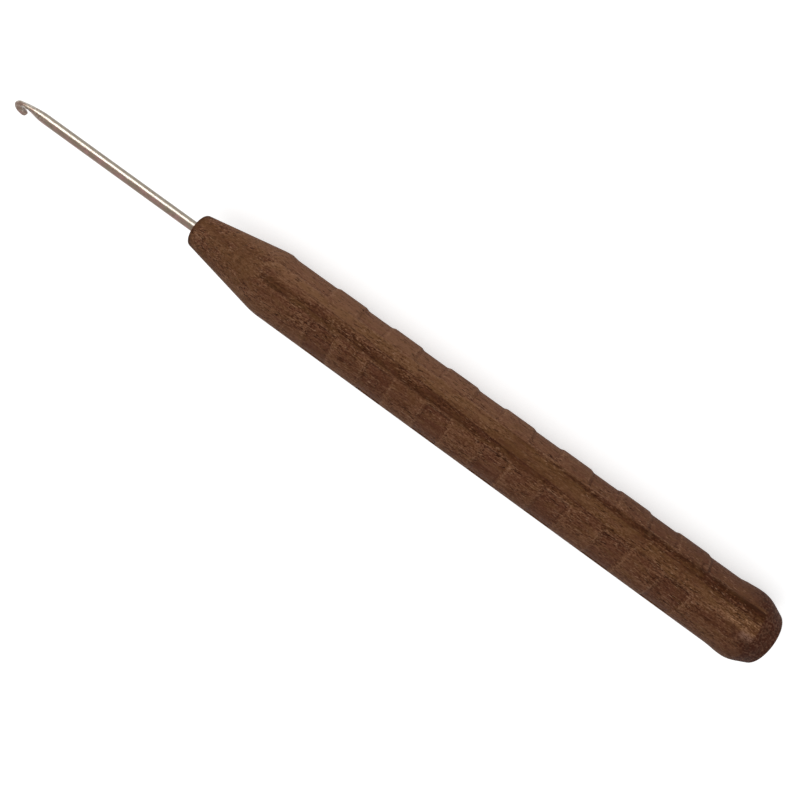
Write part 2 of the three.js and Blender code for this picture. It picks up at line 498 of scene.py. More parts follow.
def curve(control: Sequence[OutlinePoint], steps: int) -> list[OutlinePoint]:
    """Follow a smooth curve that is drawn by its control points.

    Args:
        control: The start, the points that the curve is pulled towards, and the end.
        steps: How many straight pieces the curve gets.

    Returns:
        The corners of the curve, with both ends.
    """
    corners = []
    for step in range(steps + 1):
        share = step / steps
        points = [Vector(point) for point in control]
        while len(points) > 1:
            points = [before.lerp(after, share) for before, after in pairwise(points)]
        corners.append((points[0].x, points[0].y))
    return corners


# Finishes


@dataclass(frozen=True)
class Grain:
    """The grain's patterns, each laid over the wood once and read by several looks."""

    clouds: Value
    streaks: Value
    fibres: Value
    specks: Value


@dataclass(frozen=True)
class Shade:
    """A lighter or darker part of the near flat: how much the tone changes, and where."""

    change: float
    along: Fade | Hump
    across: Fade | Hump


@dataclass(frozen=True)
class WalnutFinish:
    """Dark walnut, planed, carved and sanded, with a thin coat of oil.

    A tone runs from 0 for the darkest wood to 1 for the palest. Fades and humps run over stations and
    over distances across the handle in millimetres, over patterns, or over what the mesh notes.
    """

    dark_wood: Colour = (0.036, 0.0098, 0.0024, 1.0)
    middle_wood: Colour = (0.091, 0.0325, 0.0126, 1.0)
    pale_wood: Colour = (0.200, 0.0950, 0.0490, 1.0)
    olive_wood: Colour = (0.118, 0.0540, 0.0185, 1.0)
    red_wood: Colour = (0.094, 0.0310, 0.0180, 1.0)
    grey_wood: Colour = (0.168, 0.0820, 0.0500, 1.0)
    pore: Colour = (0.026, 0.0072, 0.0026, 1.0)
    fleck: Colour = (0.265, 0.142, 0.083, 1.0)
    stained_wood: Colour = (0.044, 0.0108, 0.0046, 1.0)
    tan_wood: Colour = (0.345, 0.180, 0.098, 1.0)
    pink_wood: Colour = (0.270, 0.150, 0.104, 1.0)

    # Patterns
    wander: Pattern = Pattern(0.045, 0.11, 1.0)
    clouds: Pattern = Pattern(0.04, 0.35, 2.0, seed=1.0, contrast=0.5)
    streaks: Pattern = Pattern(0.10, 1.3, 3.0, 0.6, seed=2.0, contrast=0.8)
    fibres: Pattern = Pattern(0.50, 3.8, 2.0, 0.6, seed=3.0, contrast=1.3)
    specks: Pattern = Pattern(2.3, 5.2, 2.0, 0.7, seed=4.0, contrast=2.3)
    pores: Pattern = Pattern(0.75, 5.2, 1.0, seed=5.0)
    flecks: Pattern = Pattern(1.10, 4.8, 1.0, seed=6.0)
    patches: Pattern = Pattern(0.16, 0.35, 1.0, seed=7.0)
    blush: Pattern = Pattern(0.35, 1.0, 2.0, seed=12.0)
    nose_flecks: Pattern = Pattern(1.3, 2.4, 2.0, 0.6, seed=8.0)
    nose_pores: Pattern = Pattern(1.0, 2.6, 2.0, 0.6, seed=9.0)
    nose_patches: Pattern = Pattern(0.26, 0.36, 1.0, seed=13.0)
    mottle: Pattern = Pattern(0.9, 0.9, 3.0, 0.65, seed=10.0)
    rubbed_spots: Pattern = Pattern(2.6, 2.6, 2.0, 0.6, seed=11.0)

    # Grain and yearly rings
    grain_drift: float = 1.6
    grain_dive: float = 0.9
    wander_width: float = 2.0
    ring_width: float = 4.7
    ring_slope: float = 0.036
    ring_station: float = 40.3
    ring_offset: float = -0.22
    ring_sway: float = 0.9
    ring_fray: float = 0.5
    band_start: Fade = Fade(0.01, 0.07)
    band_end: Fade = Fade(0.68, 0.56)
    first_line: Fade = Fade(0.05, 0.0)
    inner_line: Hump = Hump(0.62, 0.035, 0.8)
    last_line: Fade = Fade(0.965, 1.0)
    rings_end: Fade = Fade(109.0, 95.0)
    rings_off_flats: float = 0.25
    pin_knots: tuple[Place, ...] = ((27.0, -6.05, 1.62), (16.2, -6.38, 0.48))
    knot_ring: Hump = Hump(0.75, 0.28, 0.5)
    knot_eye: Fade = Fade(0.5, 0.2, 0.0, 0.12)

    # Tone
    base_tone: float = 0.605
    ring_tone: float = 0.15
    planed_tone: float = -0.11
    # Painted light: the wood lighter towards the nose and darker towards the butt
    nose_light_tone: float = 0.0006
    twist_tone: float = 0.0130
    twist_station: float = 28.0
    twist: Fade = Fade(-0.9, 3.3, -0.5, 0.5)
    near_flat_top: Fade = Fade(4.4, 3.4)
    near_flat_foot: Fade = Fade(-2.0, -1.0)
    calm: Hump = Hump(60.0, 28.0, 0.45)
    calm_everywhere: float = 0.05
    lively: Fade = Fade(0.40, 0.60, 0.70, 1.50)
    near_row: Fade = Fade(2.7, 4.4)
    # Painted light: the near row darker towards the butt and lighter towards the nose
    near_row_light_tone: Fade = Fade(5.0, 75.0, -0.40, 0.45)
    low_row: Fade = Fade(-2.8, -5.0)
    low_row_tone: Fade = Fade(88.0, 104.0, 0.05, 0.27)
    # Painted shade: the pockets a little darker, away from the near row
    pocket_shade_tone: Fade = Fade(2.7, 4.4, -0.04, 0.0)
    # Painted light on the pads' ends, and painted shadow below them
    pad_light_tone: Fade = Fade(0.35, 0.60, 0.07, 0.15)
    pad_shadow: Fade = Fade(-0.3, -1.3, 0.0, -0.08)
    flat_shades: tuple[Shade, ...] = (
        Shade(-0.20, Fade(22.0, 8.0), Fade(0.6, 2.6)),
        Shade(-0.26, Hump(44.0, 16.0), Hump(2.5, 1.1)),
        Shade(0.14, Fade(90.0, 100.0), Hump(1.0, 1.8)),
        Shade(-0.24, Fade(92.0, 76.0), Hump(3.05, 0.5)),
    )

    # Shares of other colours
    pale_band_olive: Fade = Fade(0.1, 0.5, 0.0, 0.35)
    pocket: Fade = Fade(0.5, 1.0)
    pocket_red: Fade = Fade(2.7, 4.4, 0.24, 0.10)
    rounded_red: float = 0.14
    # Painted sheen: a grey veil over the near row
    near_row_sheen: float = 0.35
    red_blush: Fade = Fade(0.50, 0.66, 0.0, 0.30)
    olive_blush: Fade = Fade(0.50, 0.34, 0.0, 0.30)
    in_pore: Fade = Fade(0.60, 0.67)
    in_fleck: Fade = Fade(0.61, 0.68)
    pore_share: float = 0.60
    fleck_share: float = 0.52
    ring_line_share: Fade = Fade(0.30, 0.55, 0.0, 0.50)

    # Grip, nose and butt
    grip_start: Fade = Fade(9.0, 11.0)
    grip_end: Fade = Fade(108.0, 106.0)
    # Edges rubbed pale by wear and lit by a painted highlight, and painted shade in the corners
    rubbed_lit_edge: Fade = Fade(0.12, 0.55, 0.0, 0.50)
    rubbed_lit_specks: Fade = Fade(0.40, 0.62)
    corner_shade: Fade = Fade(-0.08, -0.50, 0.0, 0.60)
    corner_shade_specks: Fade = Fade(0.62, 0.40)
    nose: Fade = Fade(102.0, 109.0)
    nose_spot: Fade = Fade(0.54, 0.66)
    nose_olive: Fade = Fade(0.42, 0.58, 0.385, 0.035)
    nose_fleck_share: Fade = Fade(0.42, 0.58, 0.20, 0.65)
    nose_pore_share: Fade = Fade(0.42, 0.58, 0.30, 0.85)
    nose_rim: Fade = Fade(121.6, 122.6, 0.0, 0.55)
    bright_end: Fade = Fade(15.0, 5.5)
    bright_foot: Fade = Fade(-1.2, -0.5)
    bright_top: Fade = Fade(2.5, 0.2)
    bright_streaks: float = 1.2
    bright_specks: float = 1.4
    bright_grain: Fade = Fade(1.78, 2.28)
    pink_start: Fade = Fade(3.6, 4.0)
    pink_end: Fade = Fade(6.6, 5.6)
    pink_strip: Hump = Hump(-1.6, 1.3)
    pink_grain: Fade = Fade(0.30, 0.60, 0.0, 0.75)
    stain_share: float = 0.90
    stain_sway: float = 2.0
    stain_on_flat: Fade = Fade(4.0, 3.6)
    stain_on_bead: Fade = Fade(7.0, 5.0)
    stain_on_chamfer: Fade = Fade(3.6, 3.2)
    bead_smudge: Fade = Fade(9.5, 6.5, 0.0, 0.6)
    bead_smudge_spots: Fade = Fade(0.4, 0.6)
    low_bead_clear: Fade = Fade(-2.0, -5.0, 0.0, 3.0)
    worn_through: Fade = Fade(0.72, 0.96, 0.0, 0.72)
    worn_mottle: float = 0.6
    dark_mottle: Fade = Fade(0.48, 0.62, 0.0, 0.8)
    end_grain: Fade = Fade(0.5, 0.2)
    end_ring: Hump = Hump(0.5, 0.22, 0.5)
    end_rings_per_mm: float = 0.55
    end_ring_sway: float = 0.35

    # Surface
    roughness: float = 0.66
    pore_roughness: float = 0.15
    streak_smoothness: float = 0.1
    shine: float = 0.05
    relief_depth: float = 0.08
    relief_height: float = 0.4
    fibre_relief: float = 1.5
    fleck_relief: float = 0.5
    pore_relief: float = 1.2

    def material(self, axis: Axis) -> bpy.types.Material:
        """Make the wood's material.

        Args:
            axis: The handle's axis, along which the grain runs.

        Returns:
            The material.
        """
        material = bpy.data.materials.new("walnut_oiled")
        bench = AxisBench(material, axis)
        place = self._drifting_grain(bench)
        grain = Grain(
            bench.noise(place, self.clouds),
            bench.noise(place, self.streaks),
            bench.noise(place, self.fibres),
            bench.noise(place, self.specks),
        )
        pores = self.in_pore.over(bench.noise(place, self.pores))
        flecks = self.in_fleck.over(bench.noise(place, self.flecks))
        calm = bench.attribute("planed") * (self.calm.over(bench.station) + self.calm_everywhere)
        liveliness = self.lively.over(bench.noise(place, self.patches)) - calm
        pale_band, ring_line = self._rings(bench, grain)
        tone = self._tone(bench, grain, liveliness, pale_band)
        colour = self._body_colour(bench, tone, pale_band, bench.noise(place, self.blush))
        colour = bench.coated(
            colour,
            (pores * liveliness * self.pore_share, self.pore),
            (flecks * liveliness * self.fleck_share, self.fleck),
            (ring_line * self.ring_line_share.over(grain.fibres), self.pore),
        )
        colour = self._pin_knots(bench, colour)
        colour = self._carving_edges(bench, grain, colour)
        colour = self._nose(bench, colour)
        colour = self._butt(bench, grain, colour)
        raised = grain.specks + grain.fibres * self.fibre_relief + flecks * self.fleck_relief
        relief = (raised - pores * self.pore_relief) * self.relief_height
        smoothness = grain.streaks * self.streak_smoothness
        bench.principled({
            "Base Color": colour,
            "Roughness": self.roughness + pores * self.pore_roughness - smoothness,
            "Specular IOR Level": self.shine,
            "Normal": bench.bump(relief, self.relief_depth, 1.0),
        })
        return material

    def _drifting_grain(self, bench: AxisBench) -> Socket:
        """Turn the grain a little off the axis and let it wander.

        Args:
            bench: The bench that the material is made on.

        Returns:
            The place within the grain.
        """
        turn = (0.0, math.radians(self.grain_dive), math.radians(-self.grain_drift))
        turned = bench.node("ShaderNodeMapping", inputs={"Vector": bench.place, "Rotation": turn})
        wander = bench.node(
            "ShaderNodeTexNoise",
            {"noise_dimensions": "3D"},
            {"Vector": bench.cells(bench.place, self.wander), "Scale": 1.0, "Detail": self.wander.detail},
        )
        centred = bench.vector_maths("SUBTRACT", wander.outputs[1], (0.5, 0.5, 0.5))
        width = (0.0, self.wander_width, self.wander_width)
        sideways = bench.vector_maths("MULTIPLY", centred.outputs[0], width)
        return bench.vector_maths("ADD", turned.outputs[0], sideways.outputs[0]).outputs[0]

    def _rings(self, bench: AxisBench, grain: Grain) -> tuple[Value, Value]:
        """Draw the yearly rings, which run aslant over the near flat.

        Args:
            bench: The bench that the material is made on.
            grain: The grain, which makes the rings uneven.

        Returns:
            Half in the pale bands and less half between them, and the lines at their edges.
        """
        line = (bench.station - self.ring_station) * self.ring_slope + self.ring_offset
        sway = (grain.clouds - 0.5) * self.ring_sway + (grain.streaks - 0.5) * self.ring_fray
        growth = bench.maths("FRACT", (bench.across - line - sway) * (1 / self.ring_width))
        clear = bench.attribute("planed") * (1 - self.rings_off_flats) + self.rings_off_flats
        clear = clear * self.rings_end.over(bench.station)
        pale_band = self.band_start.over(growth) * self.band_end.over(growth) - 0.5
        ring_line = (
            self.first_line.over(growth) + self.last_line.over(growth) + self.inner_line.over(growth)
        )
        return pale_band * clear, ring_line * clear

    def _tone(self, bench: AxisBench, grain: Grain, liveliness: Value, pale_band: Value) -> Value:
        """Work out how pale the wood is.

        Args:
            bench: The bench that the material is made on.
            grain: The grain and its patterns.
            liveliness: How strongly the fine patterns show.
            pale_band: The pale bands of the yearly rings.

        Returns:
            The tone.
        """
        station, across = bench.station, bench.across
        planed, pad_light_shadow = bench.attribute("planed"), bench.attribute("pad_light_shadow")
        near_row = self.near_row.over(across)
        near_flat = planed * self.near_flat_top.over(across) * self.near_flat_foot.over(across)
        towards_nose = station - self.twist_station
        fine_grain = (
            (grain.fibres - 0.5) * self.fibres.contrast + (grain.specks - 0.5) * self.specks.contrast
        )
        tone = (
            (grain.clouds - 0.5) * self.clouds.contrast
            + (grain.streaks - 0.5) * self.streaks.contrast
            + fine_grain * liveliness
            + pale_band * self.ring_tone
            # painted light, lighter towards the nose
            + towards_nose * self.nose_light_tone
            + self.twist.over(across) * near_flat * towards_nose * self.twist_tone
            # painted light along the near row, and painted shadow below its pads' ends
            + near_row * (self.near_row_light_tone.over(station) + self.pad_shadow.over(pad_light_shadow))
            + self.low_row.over(across) * self.low_row_tone.over(station)
            # painted light on the pads' ends
            + pad_light_shadow * self.pad_light_tone.over(grain.specks)
            + planed * self.planed_tone
            # painted shade in the pockets
            + bench.attribute("carved") * self.pocket_shade_tone.over(across)
            + self.base_tone
        )
        for shade in self.flat_shades:
            tone += near_flat * shade.along.over(station) * shade.across.over(across) * shade.change
        return tone

    def _body_colour(self, bench: AxisBench, tone: Value, pale_band: Value, blush: Value) -> Socket:
        """Colour the wood by its tone, redder or more olive from place to place.

        Args:
            bench: The bench that the material is made on.
            tone: The tone.
            pale_band: The pale bands of the yearly rings.
            blush: The pattern of the redder and the more olive places.

        Returns:
            The colour.
        """
        ramp = bench.node(
            "ShaderNodeValToRGB",
            {"stops": ((0.0, self.dark_wood), (0.5, self.middle_wood), (1.0, self.pale_wood))},
            {0: tone},
        )
        in_pocket = self.pocket.over(bench.attribute("carved")) * self.pocket_red.over(bench.across)
        return bench.coated(
            ramp.outputs[0],
            (self.pale_band_olive.over(pale_band), self.olive_wood),
            (in_pocket + (1.0 - bench.attribute("planed")) * self.rounded_red, self.red_wood),
            # painted sheen over the near row
            (self.near_row.over(bench.across) * self.near_row_sheen, self.grey_wood),
            (self.red_blush.over(blush), self.red_wood),
            (self.olive_blush.over(blush), self.olive_wood),
        )

    def _pin_knots(self, bench: AxisBench, colour: Socket) -> Socket:
        """Draw the small eyes in the grain.

        Args:
            bench: The bench that the material is made on.
            colour: The wood's colour so far.

        Returns:
            The colour with the eyes in it.
        """
        for centre in self.pin_knots:
            away = Value(bench, bench.vector_maths("DISTANCE", bench.place, centre).outputs["Value"])
            colour = bench.coated(
                colour, (self.knot_ring.over(away), self.pore), (self.knot_eye.over(away), self.fleck)
            )
        return colour

    def _carving_edges(self, bench: AxisBench, grain: Grain, colour: Socket) -> Socket:
        """Rub the carving's edges pale, partly with wear and partly with a painted highlight, and paint
        shade into its corners.

        Args:
            bench: The bench that the material is made on.
            grain: The grain, which breaks the lines up.
            colour: The wood's colour so far.

        Returns:
            The colour with the edges in it.
        """
        proudness = bench.attribute("proudness")
        grip = self.grip_start.over(bench.station) * self.grip_end.over(bench.station)
        rubbed_and_lit = self.rubbed_lit_edge.over(proudness) * self.rubbed_lit_specks.over(grain.specks)
        shaded_corners = self.corner_shade.over(proudness) * self.corner_shade_specks.over(grain.specks)
        return bench.coated(colour, (rubbed_and_lit * grip, self.fleck), (shaded_corners * grip, self.pore))

    def _nose(self, bench: AxisBench, colour: Socket) -> Socket:
        """Fleck the taper of the nose, where the turning tool cut across the fibres.

        Args:
            bench: The bench that the material is made on.
            colour: The wood's colour so far.

        Returns:
            The colour with the flecks in it.
        """
        nose = self.nose.over(bench.station)
        patches = bench.noise(bench.place, self.nose_patches)
        flecks = self.nose_spot.over(bench.noise(bench.place, self.nose_flecks))
        pores = self.nose_spot.over(bench.noise(bench.place, self.nose_pores))
        return bench.coated(
            colour,
            (nose * self.nose_olive.over(patches), self.olive_wood),
            (nose * flecks * self.nose_fleck_share.over(patches), self.fleck),
            (nose * pores * self.nose_pore_share.over(patches), self.pore),
            (self.nose_rim.over(bench.station), self.dark_wood),
        )

    def _butt(self, bench: AxisBench, grain: Grain, colour: Socket) -> Socket:
        """Brighten the last of the near flat, and darken the bead and the chamfer with old oil.

        Args:
            bench: The bench that the material is made on.
            grain: The grain, which breaks the bright patch up.
            colour: The wood's colour so far.

        Returns:
            The finished colour.
        """
        station, across = bench.station, bench.across
        lines = (grain.streaks + grain.fibres) * self.bright_streaks
        bright = (
            self.bright_end.over(station)
            * self.bright_foot.over(across)
            * self.bright_top.over(across)
            * self.bright_grain.over(lines + grain.specks * self.bright_specks)
        )
        pink = (
            self.pink_start.over(station)
            * self.pink_end.over(station)
            * self.pink_strip.over(across)
            * self.pink_grain.over(grain.specks)
        )
        mottle = bench.noise(bench.place, self.mottle)
        spots = bench.noise(bench.place, self.rubbed_spots)
        edge = station + (mottle - 0.5) * self.stain_sway
        bead_edge = edge + self.low_bead_clear.over(across)
        planed = bench.attribute("planed")
        on_round = 1.0 - planed
        stain = bench.most_of((
            planed * self.stain_on_flat.over(edge),
            on_round * self.stain_on_bead.over(bead_edge),
            self.stain_on_chamfer.over(station),
            on_round * self.bead_smudge.over(bead_edge) * self.bead_smudge_spots.over(mottle),
        ))
        end_sway = (mottle - 0.5) * self.end_ring_sway
        end_growth = bench.maths("FRACT", across * self.end_rings_per_mm + end_sway)
        stained = bench.coated(
            self.stained_wood,
            (self.worn_through.over(mottle * self.worn_mottle + spots), self.grey_wood),
            (self.dark_mottle.over(mottle), self.pore),
            (self.end_ring.over(end_growth) * self.end_grain.over(station), self.red_wood),
        )
        return bench.coated(
            colour,
            (bright, self.tan_wood),
            (pink, self.pink_wood),
            (stain * (self.stain_share - pink), stained),
        )


@dataclass(frozen=True)
class SteelFinish:
    """Polished steel wire with faint lines from drawing, painted light and shade by side, tarnish patches,
    and a painted highlight in the throat.
    """

    metal: Colour = (0.410, 0.368, 0.312, 1.0)
    # Painted shade at the lit side's edge, and a painted dark brown side that carries tarnish patches
    shaded_metal: Colour = (0.270, 0.235, 0.190, 1.0)
    shade_and_tarnish: Colour = (0.248, 0.176, 0.141, 1.0)
    dull: Colour = (0.165, 0.105, 0.084, 1.0)
    copper_tarnish: Colour = (0.300, 0.178, 0.160, 1.0)
    olive_tarnish: Colour = (0.212, 0.178, 0.128, 1.0)
    # Painted highlight in the throat
    throat_highlight: Colour = (0.80, 0.74, 0.70, 1.0)
    lines: Pattern = Pattern(0.15, 9.0, 3.0, 0.6)
    clouding: Pattern = Pattern(0.35, 1.2, 3.0, 0.6, seed=1.0, contrast=0.5)
    specks: Pattern = Pattern(1.4, 4.5, 2.0, 0.7, seed=2.0)
    hue: Pattern = Pattern(0.45, 1.1, 2.0, 0.6, seed=3.0)
    mottling: Pattern = Pattern(2.4, 2.4, 2.0, 0.6, seed=4.0)
    # Painted light and shade by side: the lit metal, and its shaded edge
    lit_side: Fade = Fade(-0.12, 0.12)
    shaded_side: Fade = Fade(0.40, 0.62)
    copper_places: Fade = Fade(0.52, 0.62, 0.0, 0.85)
    olive_places: Fade = Fade(0.48, 0.38, 0.0, 0.85)
    dull_specks: Fade = Fade(0.46, 0.64, 0.0, 0.55)
    head: Fade = Fade(157.0, 161.0)
    dull_mottles: Fade = Fade(0.50, 0.62, 0.0, 0.60)
    bright_mottles: Fade = Fade(0.48, 0.36, 0.0, 0.60)
    throat_highlight_share: Fade = Fade(0.58, 0.44, 0.25, 1.0)
    # The throat's painted highlight is paler, less metallic and rougher than the wire
    throat_paleness: float = 0.6
    roughness: float = 0.15
    line_roughness: float = 0.10
    cloud_roughness: float = 0.06
    throat_roughness: float = 0.25
    line_depth: float = 0.008
    line_strength: float = 0.6
    speck_relief: float = 0.5

    def material(self, axis: Axis) -> bpy.types.Material:
        """Make the steel's material.

        Args:
            axis: The handle's axis, which the wire runs along.

        Returns:
            The material.
        """
        material = bpy.data.materials.new("steel_polished")
        bench = AxisBench(material, axis)
        lines, clouding, specks, hue, mottling = (
            bench.noise(bench.place, pattern)
            for pattern in (self.lines, self.clouding, self.specks, self.hue, self.mottling)
        )
        head = self.head.over(bench.station)
        throat = bench.attribute("throat")
        shade_and_tarnish = bench.coated(
            self.shade_and_tarnish,
            (self.copper_places.over(hue), self.copper_tarnish),
            (self.olive_places.over(hue), self.olive_tarnish),
        )
        # Painted light and shade: lit towards the near row, shaded at its edge, and dark on the other side
        frayed_across = bench.across + (clouding - 0.5) * self.clouding.contrast
        colour = bench.coated(
            shade_and_tarnish,
            (self.lit_side.over(frayed_across), self.metal),
            (self.shaded_side.over(bench.across), self.shaded_metal),
            (self.dull_specks.over(specks), self.dull),
            (self.dull_mottles.over(mottling) * head, self.dull),
            (self.bright_mottles.over(mottling) * head, self.metal),
            (self.throat_highlight_share.over(mottling) * throat, self.throat_highlight),
        )
        roughness = self.roughness + lines * self.line_roughness + clouding * self.cloud_roughness
        relief = lines + specks * self.speck_relief
        bench.principled({
            "Base Color": colour,
            "Metallic": 1.0 - throat * self.throat_paleness,
            "Roughness": roughness + throat * self.throat_roughness,
            "Normal": bench.bump(relief, self.line_depth, self.line_strength),
        })
        return material


@dataclass(frozen=True)
class GlueFinish:
    """Cured glue, amber and a little cloudy."""

    clear: Colour = (0.30, 0.20, 0.10, 1.0)
    cloudy: Colour = (0.42, 0.33, 0.20, 1.0)
    clouding: Pattern = Pattern(1 / MM, 1 / MM, 2.0)  # Cells per metre, because its place is in metres
    roughness: float = 0.3
    cloud_roughness: float = 0.2
    unevenness: float = 0.05
    uneven_strength: float = 0.5

    def material(self) -> bpy.types.Material:
        """Make the glue's material.

        Returns:
            The material.
        """
        material = bpy.data.materials.new("glue_cured")
        bench = ShaderBench(material)
        place = bench.node("ShaderNodeTexCoord").outputs["Object"]
        clouding = bench.noise(place, self.clouding)
        bench.principled({
            "Base Color": bench.mix(clouding, self.clear, self.cloudy),
            "Roughness": self.roughness + clouding * self.cloud_roughness,
            "Normal": bench.bump(clouding, self.unevenness, self.uneven_strength),
        })
        return material


# Pieces


@dataclass
class CarvedHandle:
    """The handle: turned with its bore, planed on three sides, carved between, and sanded."""

    axis: Axis
    length: float = 122.9
    body_radius: float = 6.4
    bead_radius: float = 6.6
    bead_rounding: float = 1.3
    bead_sweep: float = 3.3
    butt_radius: float = 4.9
    butt_chamfer_angle: float = 26.0
    butt_edge_rounding: float = 0.4
    nose_taper_length: float = 17.0
    nose_radius: float = 3.2
    nose_edge_rounding: float = 0.5
    shoulder_rounding: float = 1.5
    flat_apothem: float = 6.05
    flat_end_sanding: float = 6.7
    flat_waste_share: float = 0.7
    pocket_depth: float = 0.25
    pocket_ramp: float = 0.6
    pocket_clearance: float = 0.64
    run_out_ramp: float = 1.5
    pocket_rim: float = 0.38
    # How far the painted light reaches from a pad's end, and how dark the painted shadow below it is
    pad_light_reach: float = 1.3
    pad_shadow_depth: float = 1.6
    cell_pitch: float = 12.2
    top_pocket_length: float = 5.8
    pattern_start: float = 15.9
    bore_radius: float = 1.15
    bore_depth: float = 32.6
    segments: int = 180
    curve_steps: int = 10
    grit: float = 0.17
    sanding: float = 0.5
    sanding_strokes: int = 2
    thinning: float = 0.42
    flat_skin: float = 0.02
    flat_edge: float = 0.06
    proudness_strokes: int = 3
    proudness_height: float = 0.03
    finish: WalnutFinish = WalnutFinish()

    @property
    def chamfer_slope(self) -> float:
        """How fast the butt's chamfer widens."""
        return math.tan(math.radians(self.butt_chamfer_angle))

    @property
    def body_station(self) -> float:
        """The station where the body starts, past the bead."""
        chamfer = (self.bead_radius - self.butt_radius) / self.chamfer_slope
        return chamfer + self.bead_rounding + self.bead_sweep

    @property
    def shoulder_station(self) -> float:
        """The station where the body ends and the nose starts to taper."""
        return self.length - self.nose_taper_length

    @property
    def pocket_half_turn(self) -> float:
        """Half the turn that a pocket spans, in radians, between the rims left beside the flats."""
        flat_half_turn = math.acos(self.flat_apothem / self.body_radius)
        return FULL_TURN / len(Row) / 2 - flat_half_turn - self.pocket_rim / self.body_radius

    def build(self) -> bpy.types.Object:
        """Make the handle from start to finish.

        Returns:
            The finished piece.
        """
        handle = self.turn_blank()
        Workbench.cut_away(handle, [self.flat_cutter(flat) for flat in Flat])
        Workbench.cut_away(handle, self.pocket_cutters())
        self.sand(handle)
        self.mark_carving(handle)
        Workbench.finish_with(handle, "DECIMATE", {"ratio": self.thinning})
        bpy.ops.object.shade_smooth()
        handle.data.materials.clear()
        handle.data.materials.append(self.finish.material(self.axis))
        return handle

    def butt_outline(self) -> list[OutlinePoint]:
        """Draw the chamfer, the rounded bead and the sweep down to the body.

        Returns:
            Stations and radii in millimetres.
        """
        slope = self.chamfer_slope
        corner = (self.bead_radius - self.butt_radius) / slope
        edge = self.butt_edge_rounding
        bead_start = corner - self.bead_rounding
        bead_end = corner + self.bead_rounding
        pull = bead_end + self.bead_sweep / 2
        return [
            (0.0, 0.0),
            *curve([
                (0.0, self.butt_radius - edge),
                (0.0, self.butt_radius),
                (edge, self.butt_radius + slope * edge),
            ], self.curve_steps),
            *curve([
                (bead_start, self.butt_radius + slope * bead_start),
                (corner, self.bead_radius),
                (bead_end, self.bead_radius),
            ], self.curve_steps),
            *curve([
                (bead_end, self.bead_radius),
                (pull, self.bead_radius),
                (pull, self.body_radius),
                (self.body_station, self.body_radius),
            ], self.curve_steps)[1:],
        ]

    def nose_outline(self) -> list[OutlinePoint]:
        """Draw the softened shoulder, the straight taper and the rounded front edge.

        Returns:
            Stations and radii in millimetres.
        """
        slope = (self.body_radius - self.nose_radius) / self.nose_taper_length
        shoulder = self.shoulder_station
        soft = self.shoulder_rounding
        edge = self.nose_edge_rounding
        return [
            *curve([
                (shoulder - soft, self.body_radius),
                (shoulder, self.body_radius),
                (shoulder + soft, self.body_radius - slope * soft),
            ], self.curve_steps),
            *curve([
                (self.length - edge, self.nose_radius + slope * edge),
                (self.length, self.nose_radius),
                (self.length, self.nose_radius - edge),
            ], self.curve_steps),
        ]

    def turn_blank(self) -> bpy.types.Object:
        """Turn the body and its bore on the lathe, from one outline.

        Returns:
            The blank.
        """
        bore_end = self.length - self.bore_depth
        outline = [
            *self.butt_outline(),
            *self.nose_outline(),
            (self.length, self.bore_radius),
            (bore_end, self.bore_radius),
            (bore_end - self.bore_radius / 2, 0.0),
        ]
        blank = Workbench.draw("walnut_handle", [self.axis.place(*point) for point in outline])
        bpy.ops.mesh.select_all(action="SELECT")
        bpy.ops.mesh.spin(
            steps=self.segments, angle=FULL_TURN, center=self.axis.middle, axis=(1.0, 0.0, 0.0)
        )
        Workbench.close_up()
        return blank

    def flat_cutter(self, flat: Flat) -> bpy.types.Object:
        """Make the waste over one flat, sanded off softly where the flat meets the chamfer.

        Args:
            flat: The flat that the waste lies on.

        Returns:
            The waste as a closed shape.
        """
        angle = math.radians(self.butt_chamfer_angle)
        corner = (self.flat_apothem - self.butt_radius) / self.chamfer_slope
        flat_end = corner + self.flat_end_sanding * math.tan(angle / 2)
        past_the_ends = 2 * self.body_radius
        line = [(self.length + past_the_ends, self.flat_apothem)]
        for step in range(self.curve_steps + 1):
            lean = angle * step / self.curve_steps
            line.append((
                flat_end - self.flat_end_sanding * math.sin(lean),
                self.flat_apothem - self.flat_end_sanding * (1 - math.cos(lean)),
            ))
        last_station, last_height = line[-1]
        line.append((-past_the_ends, last_height - (last_station + past_the_ends) * self.chamfer_slope))
        half_width = self.flat_apothem * self.flat_waste_share
        start = self.axis.place(0.0, half_width, flat.value - 90) - self.axis.place(0.0, 0.0)
        out = self.axis.place(0.0, self.body_radius, flat.value) - self.axis.place(0.0, 0.0)
        places = [self.axis.place(station, height, flat.value) + start for station, height in line]
        cutter = Workbench.draw(f"flat_waste_{flat.name.lower()}", places)
        for move in (-2 * start, out):
            bpy.ops.mesh.select_all(action="SELECT")
            bpy.ops.mesh.extrude_region_move(TRANSFORM_OT_translate={"value": move})
        Workbench.close_up()
        return cutter

    def pocket_spans(self, row: Row) -> list[tuple[float, float, float, float]]:
        """List the pockets of a row: where each starts and ends, and the ramp at either end.

        Args:
            row: The row. The two side rows are carved where the top row stands proud.

        Returns:
            Start, end, first ramp and last ramp for each pocket, in millimetres.
        """
        ramp = self.pocket_ramp
        count = int((self.shoulder_station - self.pattern_start) / self.cell_pitch)
        cells = [self.pattern_start + cell * self.cell_pitch for cell in range(count)]
        if row is Row.TOP:
            return [(start, start + self.top_pocket_length, ramp, ramp) for start in cells]
        ends = [*cells, self.shoulder_station]
        starts = [self.body_station - ramp, *(start + self.top_pocket_length for start in cells)]
        return [
            (
                start,
                end,
                self.run_out_ramp if start == starts[0] else ramp,
                self.run_out_ramp if end == ends[-1] else ramp,
            )
            for start, end in zip(starts, ends)
        ]

